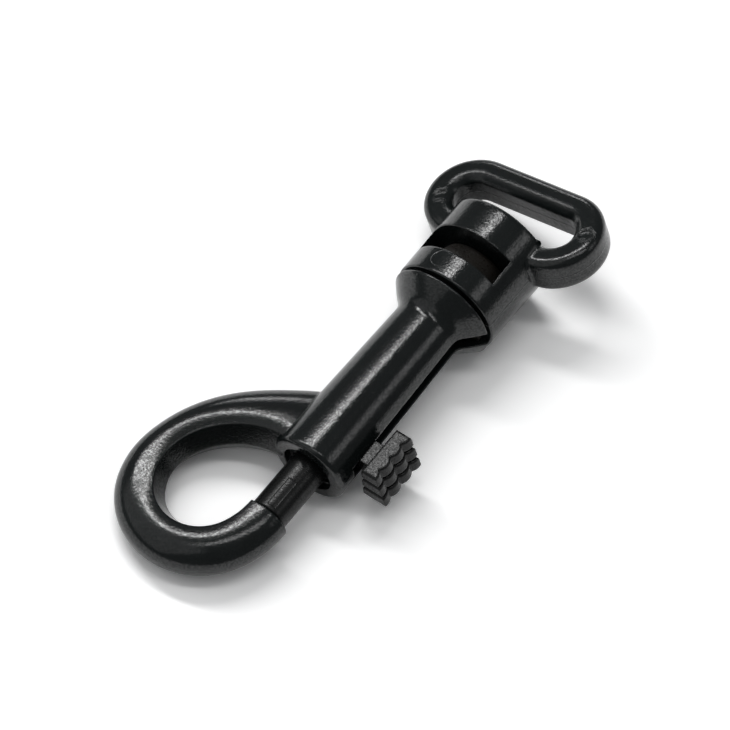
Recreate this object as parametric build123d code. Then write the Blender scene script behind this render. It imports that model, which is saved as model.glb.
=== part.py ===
from build123d import *
import os

# Strap hook: a moulded hook with a spring bolt, and a strap eye that swivels on a snap-in stud.
# Millimetres. +X runs along the barrel from the hook to the strap eye, and the hook lies flat in XY.
# Lengths along X are counted from the barrel's mouth. place() then puts the origin in the strap slot.

# Strap eye
strap_width = 25.0
strap_play = 1.0
slot_depth = 7.3
eye_bar = 5.15
eye_height = 7.2
eye_outer_round = 1.7
eye_inner_chamfer = 1.2
eye_root_round = 0.5
eye_turn = -14.5
ejector_radius = 1.2
ejector_depth = 0.25
ejector_marks = [(1.0, -15.6), (-2.6, 14.0)]

# Swivel drum
drum_length = 17.1
drum_inset = 0.2
drum_taper = 0.15
drum_front_round = 0.3
drum_rear_round = 0.6
collar_length = 4.9
window_length = 5.35
window_width = 16.9
window_round = 0.35
drum_gap = 0.7
slot_gap = 0.4

# Swivel stud
shank_radius = 6.8
swivel_clearance = 0.1
head_radius = 7.65
head_tip_radius = 6.4
head_length = 4.6
head_rim = 0.8
head_round = 0.9
head_play = 0.15
plug_length = 7.0
plug_chamfer = 0.6

# Barrel
barrel_length = 38.9
mouth_radius = 7.2
waist_radius = 6.3
mouth_round = 0.9
bell_length = 5.5
bell_radius = 10.2
bell_bend_radius = 3.0
bell_bend_angle = 46.0
rim_round = 0.3
rim_lip = 1.9
rim_depth = 0.9
bore_radius = 4.9
mouth_depth = 1.6
guide_length = 2.6
slot_start = 3.9

# Bolt
bolt_radius = 3.43
bolt_chamfer = 0.4
slide_clearance = 0.12
nose_gap = 0.15
piston_gap = 0.3
piston_length = 8.5
pocket_radius = 3.6
pocket_depth = 5.5
neck_thickness = 2.9
neck_length = 4.75
neck_offset = 2.0
neck_play = 0.1
neck_overlap = 0.5

# Thumb pad
pad_depth = 4.9
pad_height = 7.6
pad_stand = 9.2
pad_lead = 2.55
pad_ridges = 4
pad_ridge_pitch = 3.05
pad_end = 0.475
pad_ridge_rise = 0.65
pad_overhang = 1.85
pad_groove_width = 0.4
pad_groove_depth = 0.5
pad_edge_round = 0.4

# Spring
spring_wire = 0.7
spring_radius = 2.85
spring_coils = 8
spring_wire_sides = 6

# Hook loop
throat = 11.57
hook_width = 8.7
hook_narrow_width = 8.0
hook_height = 8.0
hook_flank_width = 1.7
hook_flank_share = 0.93
hook_crown = 4.0
nose_arc_radius = 16.4
nose_arc_angle = 25.0
eye_arc_radius = 10.95
eye_arc_angle = 125.0
crest_arc_radius = 13.05
crest_arc_angle = 42.0
root_start = -0.3
root_end = 14.4
root_height = 9.0
root_inner_bend = (-3.6, 13.9)
root_outer_bend = (2.6, 20.8)
root_depth = 0.4

# Sections of the hook loop's loft, along the three arcs of the wire and along its root
nose_sections = 4
eye_sections = 9
crest_sections = 3
root_sections = 5

# The drum follows the bell's rim, and widens towards the strap eye
drum_front_radius = bell_radius - drum_inset
drum_rear_radius = drum_front_radius + drum_taper

# Places along X that follow from the sizes above
waist_x = barrel_length - bell_length
recess_x = barrel_length - rim_depth
guide_end = mouth_depth + guide_length
plug_start = recess_x - plug_length
piston_start = guide_end + piston_gap
piston_end = piston_start + piston_length
pocket_bottom = piston_end - pocket_depth
neck_start = slot_start + neck_offset
pad_start = neck_start - pad_lead
pad_length = (pad_ridges - 1) * pad_ridge_pitch + 2 * pad_end
drum_start = barrel_length + drum_gap
window_start = drum_start + collar_length
drum_end = drum_start + drum_length
slot_centre = drum_end + slot_gap + slot_depth / 2


def place(shape):
    return Pos(-slot_centre, 0, 0) * shape


def turned(*corners):
    return revolve(make_face(Polyline(*corners, close=True)), Axis.X)


def ring_edges(shape, x, radius):
    # Circular edges of a turned piece at one place along X and of one radius.
    rings = shape.edges().filter_by(GeomType.CIRCLE)
    return rings.filter_by(lambda e: abs(e.arc_center.X - x) < 0.01 and abs(e.radius - radius) < 0.01)


def hook_section(inner, outer, height):
    # One upright section across the hook wire: flat slanting inner flanks with a crisp top edge,
    # and an elliptical outer side that grows with the width.
    across = outer - inner
    half = height / 2
    edge = (hook_flank_width, hook_flank_share * half)
    upper_flank = Line((0, 0), edge)
    upper_crown = TangentArc((hook_crown, half), edge, tangent=(-1, 0))
    side = EllipticalCenterArc((hook_crown, 0), across.length - hook_crown, half, -90, arc_size=180)
    lower_crown = mirror(upper_crown, Plane.XZ)
    lower_flank = mirror(upper_flank, Plane.XZ)
    outline = make_face([upper_flank, upper_crown, side, lower_crown, lower_flank])
    return Plane(inner, x_dir=across, z_dir=across.cross(Vector(0, 0, 1))) * outline


def hook_loop():
    # The wire runs from the nose round the eye, then fans out into its root on the barrel's side.
    stations = []
    point = Vector(-throat, 0)
    heading = Vector(-1, 0)
    narrowing = hook_width - hook_narrow_width
    arcs = [(nose_arc_radius, nose_arc_angle, nose_sections), (eye_arc_radius, eye_arc_angle, eye_sections),
            (crest_arc_radius, crest_arc_angle, crest_sections)]
    for number, (radius, angle, count) in enumerate(arcs):
        arc = JernArc(point, heading, radius, -angle)
        first = 0 if number == 0 else 1
        for step in range(first, count + 1):
            along = step / count
            outward = (arc % along).rotate(Axis.Z, 90)
            last = number == len(arcs) - 1
            width = hook_width - (narrowing * along if last else 0)
            middle = arc @ along
            stations.append((middle - outward * (width / 2), middle + outward * (width / 2), hook_height))
        point = arc @ 1
        heading = arc % 1
    inner_start, outer_start, _ = stations[-1]
    root_y = bore_radius + root_depth
    inner_root = Vector(root_start, root_y)
    outer_root = Vector(root_end, root_y)
    inner_edge = Spline(inner_start, root_inner_bend, inner_root, tangents=[heading, (0.05, -1)])
    outer_edge = Spline(outer_start, root_outer_bend, outer_root, tangents=[heading, (0.48, -0.88)])
    for step in range(1, root_sections + 1):
        along = step / root_sections
        height = hook_height + (root_height - hook_height) * along
        stations.append((inner_edge @ along, outer_edge @ along, height))
    return loft([hook_section(*station) for station in stations])


def hook_body():
    waist = (waist_x, waist_radius)
    rim = (barrel_length, bell_radius)
    taper = Line((0, mouth_radius), waist)
    bend = JernArc(waist, (1, 0), bell_bend_radius, bell_bend_angle)
    bell = TangentArc(bend @ 1, rim, tangent=bend % 1)
    ends = Polyline(rim, (barrel_length, 0), (0, 0), (0, mouth_radius))
    barrel = revolve(make_face([taper, bend, bell, ends]), Axis.X)
    barrel = fillet(ring_edges(barrel, 0, mouth_radius), mouth_round)
    barrel = fillet(ring_edges(barrel, barrel_length, bell_radius), rim_round)

    guide_radius = bolt_radius + slide_clearance
    hollow = turned((0, 0), (0, bore_radius), (mouth_depth, bore_radius), (mouth_depth, guide_radius),
                    (guide_end, guide_radius), (guide_end, bore_radius), (recess_x, bore_radius),
                    (recess_x, bell_radius - rim_lip), (barrel_length, bell_radius - rim_lip),
                    (barrel_length, 0))
    slot_width = neck_thickness + 2 * neck_play
    slot = Pos(slot_start, -bell_radius / 2, 0) * Box(
        barrel_length, bell_radius, slot_width, align=(Align.MIN, Align.CENTER, Align.CENTER))
    return barrel + hook_loop() - hollow - slot


def pad_tier(upper, lower, height):
    # One tier: a row of tapered ridges with rounded rims on the front of a slab. upper and lower are
    # the places of the ridges' crests at the tier's top and bottom. The row is trimmed by a block
    # with rounded edges, which cuts the first and the last ridge at the pad's ends.
    ridge_radius = (pad_ridge_pitch ** 2 / 4 + pad_ridge_rise ** 2) / (2 * pad_ridge_rise)
    ridge_middle = upper + ridge_radius
    ridge = Cone(ridge_middle - lower, ridge_radius, height)
    ridge = fillet(ridge.edges().filter_by(GeomType.CIRCLE), pad_edge_round)
    middle = pad_start + pad_length / 2
    row = Pos(middle, (ridge_middle - pad_stand) / 2, 0) * Box(pad_length, -pad_stand - ridge_middle, height)
    for number in range(pad_ridges):
        row += Pos(pad_start + pad_end + number * pad_ridge_pitch, ridge_middle, 0) * ridge
    block = Pos(middle, -pad_stand, 0) * Box(
        pad_length, 2 * pad_depth, height, align=(Align.CENTER, Align.MAX, Align.CENTER))
    return row & fillet(block.edges().filter_by(Plane.XY), pad_edge_round)


def thumb_pad():
    # Three tiers split by grooves. The ridges' crests lean outwards from the pad's top to its bottom.
    tier_height = (pad_height - 2 * pad_groove_width) / 3
    tier_pitch = tier_height + pad_groove_width
    lean = pad_overhang / pad_height
    core_depth = pad_depth - pad_overhang - pad_ridge_rise - pad_groove_depth
    pad = Pos(pad_start + pad_length / 2, -pad_stand - core_depth / 2, 0) * Box(
        pad_length - 2 * pad_groove_depth, core_depth, 2 * tier_pitch)
    for level in (-1, 0, 1):
        middle = level * tier_pitch
        lower = -pad_stand - pad_depth + lean * (middle - tier_height / 2 + pad_height / 2)
        pad += Pos(0, 0, middle) * pad_tier(lower + lean * tier_height, lower, tier_height)
    return pad


def bolt():
    piston_radius = bore_radius - slide_clearance
    tip = -throat + nose_gap
    rod = turned((tip, 0), (tip, bolt_radius - bolt_chamfer), (tip + bolt_chamfer, bolt_radius),
                 (piston_start, bolt_radius), (piston_start, piston_radius), (piston_end, piston_radius),
                 (piston_end, pocket_radius), (pocket_bottom, pocket_radius), (pocket_bottom, 0))
    neck_root = -pocket_radius - neck_overlap
    neck = Pos(neck_start, neck_root, 0) * Box(
        neck_length, pad_stand + neck_root + neck_overlap, neck_thickness,
        align=(Align.MIN, Align.MAX, Align.CENTER))
    return rod + neck + thumb_pad()


def spring():
    # Ends ground flat against the pocket's bottom and the plug's face. The round wire has few
    # facets here, because its many turns repeat them.
    length = plug_start - pocket_bottom
    pitch = (length + spring_wire) / spring_coils
    coil = Helix(pitch, length + spring_wire, spring_radius, center=(pocket_bottom - spring_wire / 2, 0, 0),
                 direction=(1, 0, 0))
    section = Plane(coil @ 0, z_dir=coil % 0) * RegularPolygon(spring_wire / 2, spring_wire_sides)
    wire = sweep(section, coil, is_frenet=True)
    room = Pos(pocket_bottom + length / 2, 0, 0) * Box(length, 2 * bore_radius, 2 * bore_radius)
    return wire & room


def swivel_stud():
    flange_radius = bell_radius - rim_lip - swivel_clearance
    head_start = window_start + head_play
    head_end = head_start + head_length
    stud = turned((plug_start, 0), (plug_start, bore_radius), (recess_x, bore_radius),
                  (recess_x, flange_radius), (barrel_length, flange_radius), (barrel_length, shank_radius),
                  (head_start, shank_radius), (head_start, head_radius),
                  (head_start + head_rim, head_radius), (head_end, head_tip_radius), (head_end, 0))
    stud = chamfer(ring_edges(stud, plug_start, bore_radius), plug_chamfer)
    return fillet(ring_edges(stud, head_end, head_tip_radius), head_round)


def strap_slot(slot_width):
    # The tool that cuts the strap's slot, with funnels that chamfer its upper and lower edges.
    top = eye_height / 2
    slot = extrude(SlotOverall(slot_width, slot_depth), top, both=True)
    for side in (1, -1):
        narrow = Plane((0, 0, side * (top - eye_inner_chamfer))) * SlotOverall(slot_width, slot_depth)
        wide = Plane((0, 0, side * top)) * SlotOverall(slot_width + 2 * eye_inner_chamfer,
                                                       slot_depth + 2 * eye_inner_chamfer)
        slot += loft([narrow, wide])
    return slot


def swivel_eye():
    drum = turned((drum_start, 0), (drum_start, drum_front_radius), (drum_end, drum_rear_radius),
                  (drum_end, 0))
    drum = fillet(ring_edges(drum, drum_start, drum_front_radius), drum_front_round)
    drum = fillet(ring_edges(drum, drum_end, drum_rear_radius), drum_rear_round)

    slot_width = strap_width + strap_play
    eye_outline = SlotOverall(slot_width + 2 * eye_bar, slot_depth + 2 * eye_bar)
    eye = extrude(eye_outline, eye_height / 2, both=True)
    eye = fillet(eye.edges().filter_by(Plane.XY), eye_outer_round)
    place_eye = Pos(slot_centre, 0, 0) * Rot(0, 0, 90)
    eye = place_eye * eye
    body = fillet(new_edges(drum, eye, combined=drum + eye), eye_root_round)

    bore = Pos(drum_start + collar_length / 2, 0, 0) * Rot(0, 90, 0) * Cylinder(
        shank_radius + swivel_clearance, collar_length + 2 * drum_gap)
    window = Pos(window_start + window_length / 2, 0, 0) * Box(window_length, window_width, 3 * drum_rear_radius)
    window = fillet(window.edges().filter_by(Axis.Y).sort_by(Axis.X)[-2:], window_round)
    body = body - place_eye * strap_slot(slot_width) - bore - window
    ejector = Cylinder(ejector_radius, 2 * ejector_depth)
    for lengthwise, sideways in ejector_marks:
        body -= Pos(slot_centre + lengthwise, sideways, eye_height / 2) * ejector
    return Rot(eye_turn, 0, 0) * body


os.makedirs("parts", exist_ok=True)
pieces = {
    "hook_body": hook_body(),
    "bolt": bolt(),
    "spring": spring(),
    "swivel_stud": swivel_stud(),
    "swivel_eye": swivel_eye(),
}
for node, shape in pieces.items():
    export_step(place(shape), f"parts/{node}.step")
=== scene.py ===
import bmesh
import bpy
import math
from mathutils import Matrix, Vector


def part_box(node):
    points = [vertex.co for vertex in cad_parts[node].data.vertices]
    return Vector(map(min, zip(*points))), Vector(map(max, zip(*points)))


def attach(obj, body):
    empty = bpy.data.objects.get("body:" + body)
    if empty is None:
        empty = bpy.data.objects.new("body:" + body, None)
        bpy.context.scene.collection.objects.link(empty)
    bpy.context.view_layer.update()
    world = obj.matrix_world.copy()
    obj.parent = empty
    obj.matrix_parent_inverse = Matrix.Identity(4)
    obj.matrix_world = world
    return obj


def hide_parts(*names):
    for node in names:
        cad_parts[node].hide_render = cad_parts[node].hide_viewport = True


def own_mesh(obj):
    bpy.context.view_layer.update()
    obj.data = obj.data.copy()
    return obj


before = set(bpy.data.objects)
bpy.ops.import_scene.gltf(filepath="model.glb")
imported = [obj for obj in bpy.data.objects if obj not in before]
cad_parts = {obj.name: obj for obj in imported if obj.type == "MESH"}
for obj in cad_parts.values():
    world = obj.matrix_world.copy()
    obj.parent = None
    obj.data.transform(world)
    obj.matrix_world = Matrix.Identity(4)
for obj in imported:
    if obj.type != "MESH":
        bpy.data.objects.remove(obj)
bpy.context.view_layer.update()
print("frame loaded:", sorted(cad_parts))

mm = 0.001  # every length below is in metres unless it is multiplied by mm


def linearColour(hexCode):
    # sRGB hex, such as "#101214", to the linear values that the nodes want
    channels = [int(hexCode[i:i + 2], 16) / 255 for i in (1, 3, 5)]
    return tuple(c / 12.92 if c <= 0.04045 else ((c + 0.055) / 1.055) ** 2.4 for c in channels) + (1.0,)


def addNode(tree, kind, settings=None, links=None):
    # One node: settings name an input or else a property, and links name an input and what feeds it
    node = tree.nodes.new(kind)
    for name, value in (settings or {}).items():
        if isinstance(name, int) or name in node.inputs.keys():
            node.inputs[name].default_value = value
        else:
            setattr(node, name, value)
    for socket, source in (links or {}).items():
        tree.links.new(source, node.inputs[socket])
    return node


def newMaterial(name):
    material = bpy.data.materials.new(name)
    material.use_nodes = True
    tree = material.node_tree
    tree.nodes.clear()
    return material, tree


mixColour = {"first": 6, "second": 7, "result": 2}  # the sockets of a Mix node that carry colours

mouldedNylon = {
    "ior": 1.53,
    "grain": 0.50 * mm,  # spacing of the orange-peel grain, coarser than the real one so that it shows
    "grainCrispness": 0.7,  # how strong a pattern's finer detail is
    "pits": 0.32 * mm,  # spacing of the fine dull pits that speckle the highlights, coarser than real too
    "pitsCrispness": 0.6,
    "flow": 4.0 * mm,  # spacing of the sink and flow waves
    "flowCrispness": 0.5,
    "flowDepth": 0.015 * mm,
    "detail": 2.0,  # finer levels in each of these patterns
    "dullFrom": (0.35, 0.65),  # levels of the pit pattern between which the skin turns from clear to dull
    "dullSwing": (-0.4, 0.8),  # change of roughness there
    "sheenFrom": (0.38, 0.62),  # levels of the pit pattern between which the skin loses its sheen
    "sheenSwing": (0.3, -0.3),  # change of gloss there
    "edge": 0.45 * mm,  # how far the sharp edges are worn round
    "edgeSamples": 8,
    "lineWidth": 0.10 * mm,  # half the width of a witness line, such as where the two halves of the tool met
    "lineHeight": 0.03 * mm,
}
# Each piece's own finish: its tones, roughness, gloss (0.5 is the plain level of its IOR) and depth of grain.
# Some pieces also have
#   pitting: the share of the pits' swing that shows
#   parting: the normal of the plane where the tool's halves met
#   insert: the outline that an insert in the tool left, as its centre, (length, width, corner) and height
#   loop: where along X the bar starts and ends turning rounder, and how round it gets
nylonFinish = {
    "hook_body": {"name": "black nylon, polished tool", "dark": "#0d1010", "light": "#151919",
                  "roughness": 0.13, "gloss": 0.36, "grainDepth": 0.028 * mm, "parting": (0, 0, 1)},
    "swivel_eye": {"name": "black nylon, polished tool, turned", "dark": "#0d1010", "light": "#151919",
                   "roughness": 0.13, "gloss": 0.36, "grainDepth": 0.028 * mm, "parting": (0, 0.2504, 0.9681),
                   "insert": ((-18.2 * mm, 2.6 * mm), (3.4 * mm, 3.4 * mm, 1.7 * mm), 0.03 * mm),
                   "loop": (-9 * mm, -6 * mm, 1.2 * mm)},
    "bolt": {"name": "black nylon, spark-eroded tool", "dark": "#0c0d0d", "light": "#131414",
             "roughness": 0.26, "gloss": 0.20, "grainDepth": 0.02 * mm, "pitting": 0.5,
             "insert": ((-68.2 * mm, -0.65 * mm), (6.0 * mm, 1.6 * mm, 0.1 * mm), 0.04 * mm)},
    # the stud's two tones are brownish, its dark one darker than the other pieces', mixed by the flow pattern
    "swivel_stud": {"name": "black nylon, dull, dark brownish", "dark": "#090807", "light": "#1a1713",
                    "roughness": 0.38, "gloss": 0.27, "grainDepth": 0.09 * mm},
}


def addLine(tree, distance, normal, height):
    # A raised witness line, where the distance from it is nearly nothing
    near = addNode(tree, "ShaderNodeMath", {"operation": "ABSOLUTE"}, {0: distance})
    ridge = addNode(tree, "ShaderNodeMapRange",
                    {"From Min": 0.0, "From Max": mouldedNylon["lineWidth"], "To Min": 1.0, "To Max": 0.0},
                    {"Value": near.outputs["Value"]})
    line = addNode(tree, "ShaderNodeBump", {"Strength": 1.0, "Distance": height},
                   {"Height": ridge.outputs["Result"], "Normal": normal})
    return line.outputs["Normal"]


def outlineDistance(tree, place, centre, size):
    # How far a point lies, seen from above, from a rectangle's outline with rounded corners
    offset = addNode(tree, "ShaderNodeVectorMath", {"operation": "SUBTRACT", 1: (*centre, 0)}, {0: place})
    folded = addNode(tree, "ShaderNodeVectorMath", {"operation": "ABSOLUTE"}, {0: offset.outputs["Vector"]})
    length, width, corner = size
    core = (length / 2 - corner, width / 2 - corner, 1)
    outside = addNode(tree, "ShaderNodeVectorMath", {"operation": "SUBTRACT", 1: core},
                      {0: folded.outputs["Vector"]})
    clipped = addNode(tree, "ShaderNodeVectorMath", {"operation": "MAXIMUM", 1: (0, 0, 0)},
                      {0: outside.outputs["Vector"]})
    reach = addNode(tree, "ShaderNodeVectorMath", {"operation": "LENGTH"}, {0: clipped.outputs["Vector"]})
    return addNode(tree, "ShaderNodeMath", {"operation": "SUBTRACT", 1: corner}, {0: reach.outputs["Value"]})


def makeMouldedNylon(name, dark, light, roughness, gloss, grainDepth, pitting=1.0,
                     parting=None, insert=None, loop=None):
    # Injection-moulded black nylon: a dark, semi-gloss skin whose highlights look speckled
    material, tree = newMaterial(name)
    place = addNode(tree, "ShaderNodeTexCoord").outputs["Object"]
    detail = mouldedNylon["detail"]
    grain = addNode(tree, "ShaderNodeTexNoise",
                    {"Scale": 1 / mouldedNylon["grain"], "Detail": detail,
                     "Roughness": mouldedNylon["grainCrispness"]},
                    {"Vector": place})
    flow = addNode(tree, "ShaderNodeTexNoise",
                   {"Scale": 1 / mouldedNylon["flow"], "Detail": detail,
                    "Roughness": mouldedNylon["flowCrispness"]},
                   {"Vector": place})
    pits = addNode(tree, "ShaderNodeTexNoise",
                   {"Scale": 1 / mouldedNylon["pits"], "Detail": detail,
                    "Roughness": mouldedNylon["pitsCrispness"]},
                   {"Vector": place})
    tones = {mixColour["first"]: linearColour(dark), mixColour["second"]: linearColour(light)}
    colour = addNode(tree, "ShaderNodeMix", {"data_type": "RGBA", **tones}, {"Factor": flow.outputs["Fac"]})
    start, end = mouldedNylon["dullFrom"]
    clear, dull = [roughness * (1 + swing * pitting) for swing in mouldedNylon["dullSwing"]]
    dullness = addNode(tree, "ShaderNodeMapRange",
                       {"From Min": start, "From Max": end, "To Min": clear, "To Max": dull},
                       {"Value": pits.outputs["Fac"]})
    start, end = mouldedNylon["sheenFrom"]
    bright, faint = [gloss * (1 + swing * pitting) for swing in mouldedNylon["sheenSwing"]]
    sheen = addNode(tree, "ShaderNodeMapRange",
                    {"From Min": start, "From Max": end, "To Min": bright, "To Max": faint},
                    {"Value": pits.outputs["Fac"]})
    rounded = addNode(tree, "ShaderNodeBevel",
                      {"samples": mouldedNylon["edgeSamples"], "Radius": mouldedNylon["edge"]})
    if loop:
        along = addNode(tree, "ShaderNodeSeparateXYZ", links={"Vector": place})
        start, end, radius = loop
        edge = addNode(tree, "ShaderNodeMapRange",
                       {"From Min": start, "From Max": end, "To Min": mouldedNylon["edge"], "To Max": radius},
                       {"Value": along.outputs["X"]})
        tree.links.new(edge.outputs["Result"], rounded.inputs["Radius"])
    waves = addNode(tree, "ShaderNodeBump", {"Strength": 1.0, "Distance": mouldedNylon["flowDepth"]},
                    {"Height": flow.outputs["Fac"], "Normal": rounded.outputs["Normal"]})
    relief = addNode(tree, "ShaderNodeBump", {"Strength": 1.0, "Distance": grainDepth},
                     {"Height": grain.outputs["Fac"], "Normal": waves.outputs["Normal"]})
    normal = relief.outputs["Normal"]
    if parting:
        level = addNode(tree, "ShaderNodeVectorMath", {"operation": "DOT_PRODUCT", 1: parting}, {0: place})
        normal = addLine(tree, level.outputs["Value"], normal, mouldedNylon["lineHeight"])
    if insert:
        centre, size, height = insert
        normal = addLine(tree, outlineDistance(tree, place, centre, size).outputs["Value"], normal, height)
    skin = addNode(tree, "ShaderNodeBsdfPrincipled", {"IOR": mouldedNylon["ior"]},
                   {"Base Color": colour.outputs[mixColour["result"]],
                    "Roughness": dullness.outputs["Result"],
                    "Specular IOR Level": sheen.outputs["Result"], "Normal": normal})
    addNode(tree, "ShaderNodeOutputMaterial", links={"Surface": skin.outputs["BSDF"]})
    return material


springWire = {
    "steel": "#b9bcc0",
    "roughness": (0.22, 0.38),
    "dieMarks": 0.05 * mm,  # spacing of the fine marks that the die left in the wire
    "detail": 1.0,
}


def makeSpringWire():
    # Cold-drawn spring steel: bright metal, slightly uneven in its shine
    material, tree = newMaterial("drawn spring steel")
    place = addNode(tree, "ShaderNodeTexCoord").outputs["Object"]
    marks = addNode(tree, "ShaderNodeTexNoise",
                    {"Scale": 1 / springWire["dieMarks"], "Detail": springWire["detail"]}, {"Vector": place})
    clear, dull = springWire["roughness"]
    dullness = addNode(tree, "ShaderNodeMapRange", {"To Min": clear, "To Max": dull},
                       {"Value": marks.outputs["Fac"]})
    metal = addNode(tree, "ShaderNodeBsdfPrincipled",
                    {"Base Color": linearColour(springWire["steel"]), "Metallic": 1.0},
                    {"Roughness": dullness.outputs["Result"]})
    addNode(tree, "ShaderNodeOutputMaterial", links={"Surface": metal.outputs["BSDF"]})
    return material


steel = makeSpringWire()
for nodeName, finish in nylonFinish.items():
    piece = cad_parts[nodeName]
    piece.data.materials.clear()
    piece.data.materials.append(makeMouldedNylon(**finish))
print("materials made")


springShape = {
    "wire": 0.35 * mm,  # wire radius
    "wireSides": 12,
    "coilRadius": 2.85 * mm,  # to the wire's centre
    "openTurns": 7,
    "closedTurns": 1.0,  # dead turns at each end, wound close
    "closedPitch": 2.1,  # in wire radii, a hair more than the wire's thickness
    "stepsPerTurn": 40,
    "keep": 0.49,  # length left when the bolt is drawn back
}


def windSpring():
    # The wire's section is spun round the barrel's axis while it moves along, close-wound at both ends
    low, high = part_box("spring")
    wire = springShape["wire"]
    closedPitch = springShape["closedPitch"] * wire
    openLength = (high.x - low.x) - 2 * wire - 2 * springShape["closedTurns"] * closedPitch
    mesh = bmesh.new()
    start = Vector((low.x + wire, springShape["coilRadius"], 0))
    section = bmesh.ops.create_circle(mesh, segments=springShape["wireSides"], radius=wire, cap_ends=True,
                                      matrix=Matrix.Translation(start))
    head = [face for vert in section["verts"] for face in vert.link_faces][:1]
    closed = (springShape["closedTurns"], closedPitch)
    runs = [closed, (springShape["openTurns"], openLength / springShape["openTurns"]), closed]
    for turns, pitch in runs:
        steps = int(turns * springShape["stepsPerTurn"])
        geometry = head + [e for f in head for e in f.edges] + [v for f in head for v in f.verts]
        spun = bmesh.ops.spin(mesh, geom=geometry, cent=(0, 0, 0), axis=(1, 0, 0),
                              dvec=(turns * pitch / steps, 0, 0), angle=turns * math.tau, steps=steps)
        head = [item for item in spun["geom_last"] if isinstance(item, bmesh.types.BMFace)]
    bmesh.ops.recalc_face_normals(mesh, faces=mesh.faces)
    data = bpy.data.meshes.new("spring_coil")
    mesh.to_mesh(data)
    mesh.free()
    for polygon in data.polygons:
        polygon.use_smooth = True
    coil = bpy.data.objects.new("spring_coil", data)
    bpy.context.scene.collection.objects.link(coil)
    data.materials.append(steel)
    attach(coil, "hook")
    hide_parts("spring")
    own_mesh(coil)


windSpring()
print("spring wound")


rest = {
    "up": (0.0715, -0.0823, 0.9940),  # the floor's normal: the hook rests on drum, barrel mouth and hook loop
    "size": 3.0,
    "colour": "#fbfbfb",
    "seenExtra": "#949494",  # added where the card is looked at, so that it shows as clean white
}


def layFloor():
    # A pale sheet just under the lowest points of the resting hook
    up = Vector(rest["up"]).normalized()
    lowest = min(up.dot(vert.co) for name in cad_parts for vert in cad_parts[name].data.vertices)
    turn = up.to_track_quat("Z", "Y").to_matrix().to_4x4()
    mesh = bmesh.new()
    bmesh.ops.create_grid(mesh, x_segments=1, y_segments=1, size=rest["size"] / 2,
                          matrix=Matrix.Translation(up * lowest) @ turn)
    data = bpy.data.meshes.new("floor")
    mesh.to_mesh(data)
    mesh.free()
    floor = bpy.data.objects.new("floor", data)
    bpy.context.scene.collection.objects.link(floor)
    material, tree = newMaterial("matt white card")
    card = addNode(tree, "ShaderNodeBsdfDiffuse", {"Color": linearColour(rest["colour"])})
    extra = addNode(tree, "ShaderNodeBsdfDiffuse", {"Color": linearColour(rest["seenExtra"])})
    bright = addNode(tree, "ShaderNodeAddShader", links={0: card.outputs["BSDF"], 1: extra.outputs["BSDF"]})
    ray = addNode(tree, "ShaderNodeLightPath")
    seen = addNode(tree, "ShaderNodeMath", {"operation": "MAXIMUM"},
                   {0: ray.outputs["Is Camera Ray"], 1: ray.outputs["Is Glossy Ray"]})
    seen = addNode(tree, "ShaderNodeMath", {"operation": "MAXIMUM"},
                   {0: seen.outputs["Value"], 1: ray.outputs["Is Transmission Ray"]})
    shown = addNode(tree, "ShaderNodeMixShader", links={0: seen.outputs["Value"], 1: card.outputs["BSDF"],
                                                        2: bright.outputs["Shader"]})
    addNode(tree, "ShaderNodeOutputMaterial", links={"Surface": shown.outputs["Shader"]})
    data.materials.append(material)


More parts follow.
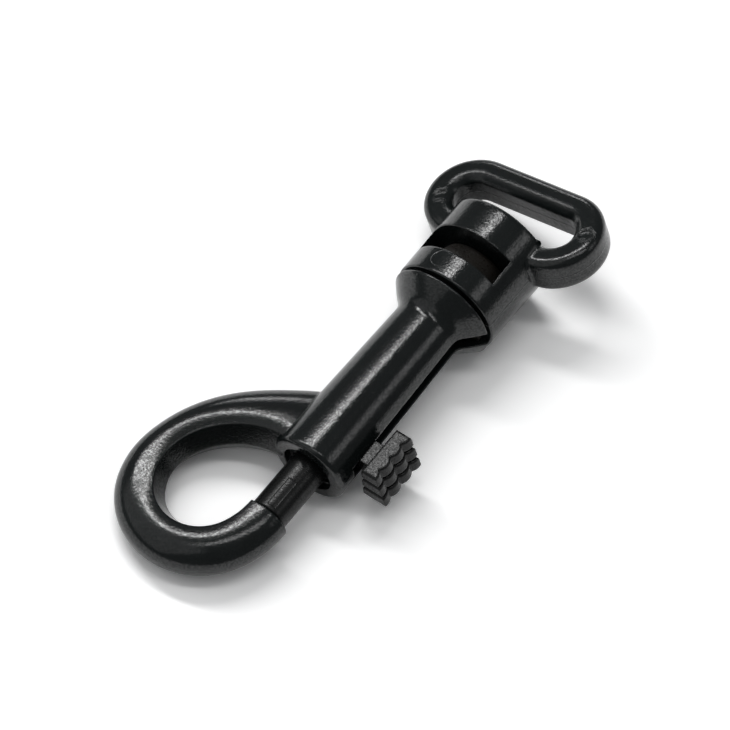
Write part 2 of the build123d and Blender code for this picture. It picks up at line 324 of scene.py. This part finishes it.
studio = {
    "worldColour": "#fbfdff",
    "worldStrength": 0.15,
    # name, direction from the object, direction of its length, distance, (length, width), brightness,
    # where white card in full light is 1, and whether the lamp shows in glossy surfaces
    "softboxes": [
        ("overhead strip", (0.27, 0.45, 0.851), (0.43, -0.88, 0.33), 0.9, (0.68, 0.10), 19.0, True),
        ("side strip", (0.05, -0.18, 0.98), (0.50, -0.84, -0.18), 0.9, (0.60, 0.11), 5.8, True),
        ("low strip", (0.68, 0.63, 0.37), (0.68, -0.73, 0.0), 0.9, (0.20, 0.08), 9.0, True),
        ("back panel", (-0.45, 0.45, 0.77), (0.70, 0.70, 0.0), 0.9, (1.2, 1.0), 0.5, True),
        ("near panel", (0.42, -0.73, 0.54), (0.87, 0.50, 0.0), 0.9, (0.30, 0.25), 1.6, True),
        ("ceiling fill", (0.10, 0.05, 0.99), (1.0, 0.0, 0.0), 1.3, (2.0, 2.0), 0.30, False),
    ],
}


def addSoftbox(name, direction, lengthways, distance, size, brightness, inGloss):
    # A rectangular lamp that faces the object, its long side turned to lie along lengthways
    light = bpy.data.lights.new(name, "AREA")
    light.shape = "RECTANGLE"
    light.size, light.size_y = size
    light.energy = brightness * size[0] * size[1] * math.pi  # watts for that brightness
    lamp = bpy.data.objects.new(name, light)
    bpy.context.scene.collection.objects.link(lamp)
    back = Vector(direction).normalized()
    side = (Vector(lengthways) - back * back.dot(Vector(lengthways))).normalized()
    axes = Matrix((side, back.cross(side), back)).transposed().to_4x4()
    lamp.matrix_world = Matrix.Translation(back * distance) @ axes
    lamp.visible_camera = False
    lamp.visible_glossy = inGloss


def lightStudio():
    world = bpy.data.worlds.new("studio")
    bpy.context.scene.world = world
    world.use_nodes = True
    world.node_tree.nodes.clear()
    glow = addNode(world.node_tree, "ShaderNodeBackground",
                   {"Color": linearColour(studio["worldColour"]), "Strength": studio["worldStrength"]})
    addNode(world.node_tree, "ShaderNodeOutputWorld", links={"Surface": glow.outputs["Background"]})
    for softbox in studio["softboxes"]:
        addSoftbox(*softbox)


view = {
    "place": (-0.341221, -0.269384, 0.655974),
    "right": (0.597841, -0.799531, -0.057758),
    "up": (0.699283, 0.484942, 0.525200),
    "lens": 221.676,  # in mm: a long lens, so the barrel hardly tapers with distance
    "sensor": 36,  # in mm
    "reach": 20,  # in metres, past the floor's far edge
}


def setCamera():
    lens = bpy.data.cameras.new("camera")
    lens.lens = view["lens"]
    lens.sensor_width = view["sensor"]
    lens.clip_end = view["reach"]
    camera = bpy.data.objects.new("camera", lens)
    bpy.context.scene.collection.objects.link(camera)
    right = Vector(view["right"]).normalized()
    back = right.cross(Vector(view["up"])).normalized()
    up = back.cross(right)
    axes = Matrix((right, up, back)).transposed().to_4x4()
    camera.matrix_world = Matrix.Translation(view["place"]) @ axes
    bpy.context.scene.camera = camera


layFloor()
lightStudio()
setCamera()
bpy.context.scene.view_settings.view_transform = "Standard"
print("floor, light and camera set")
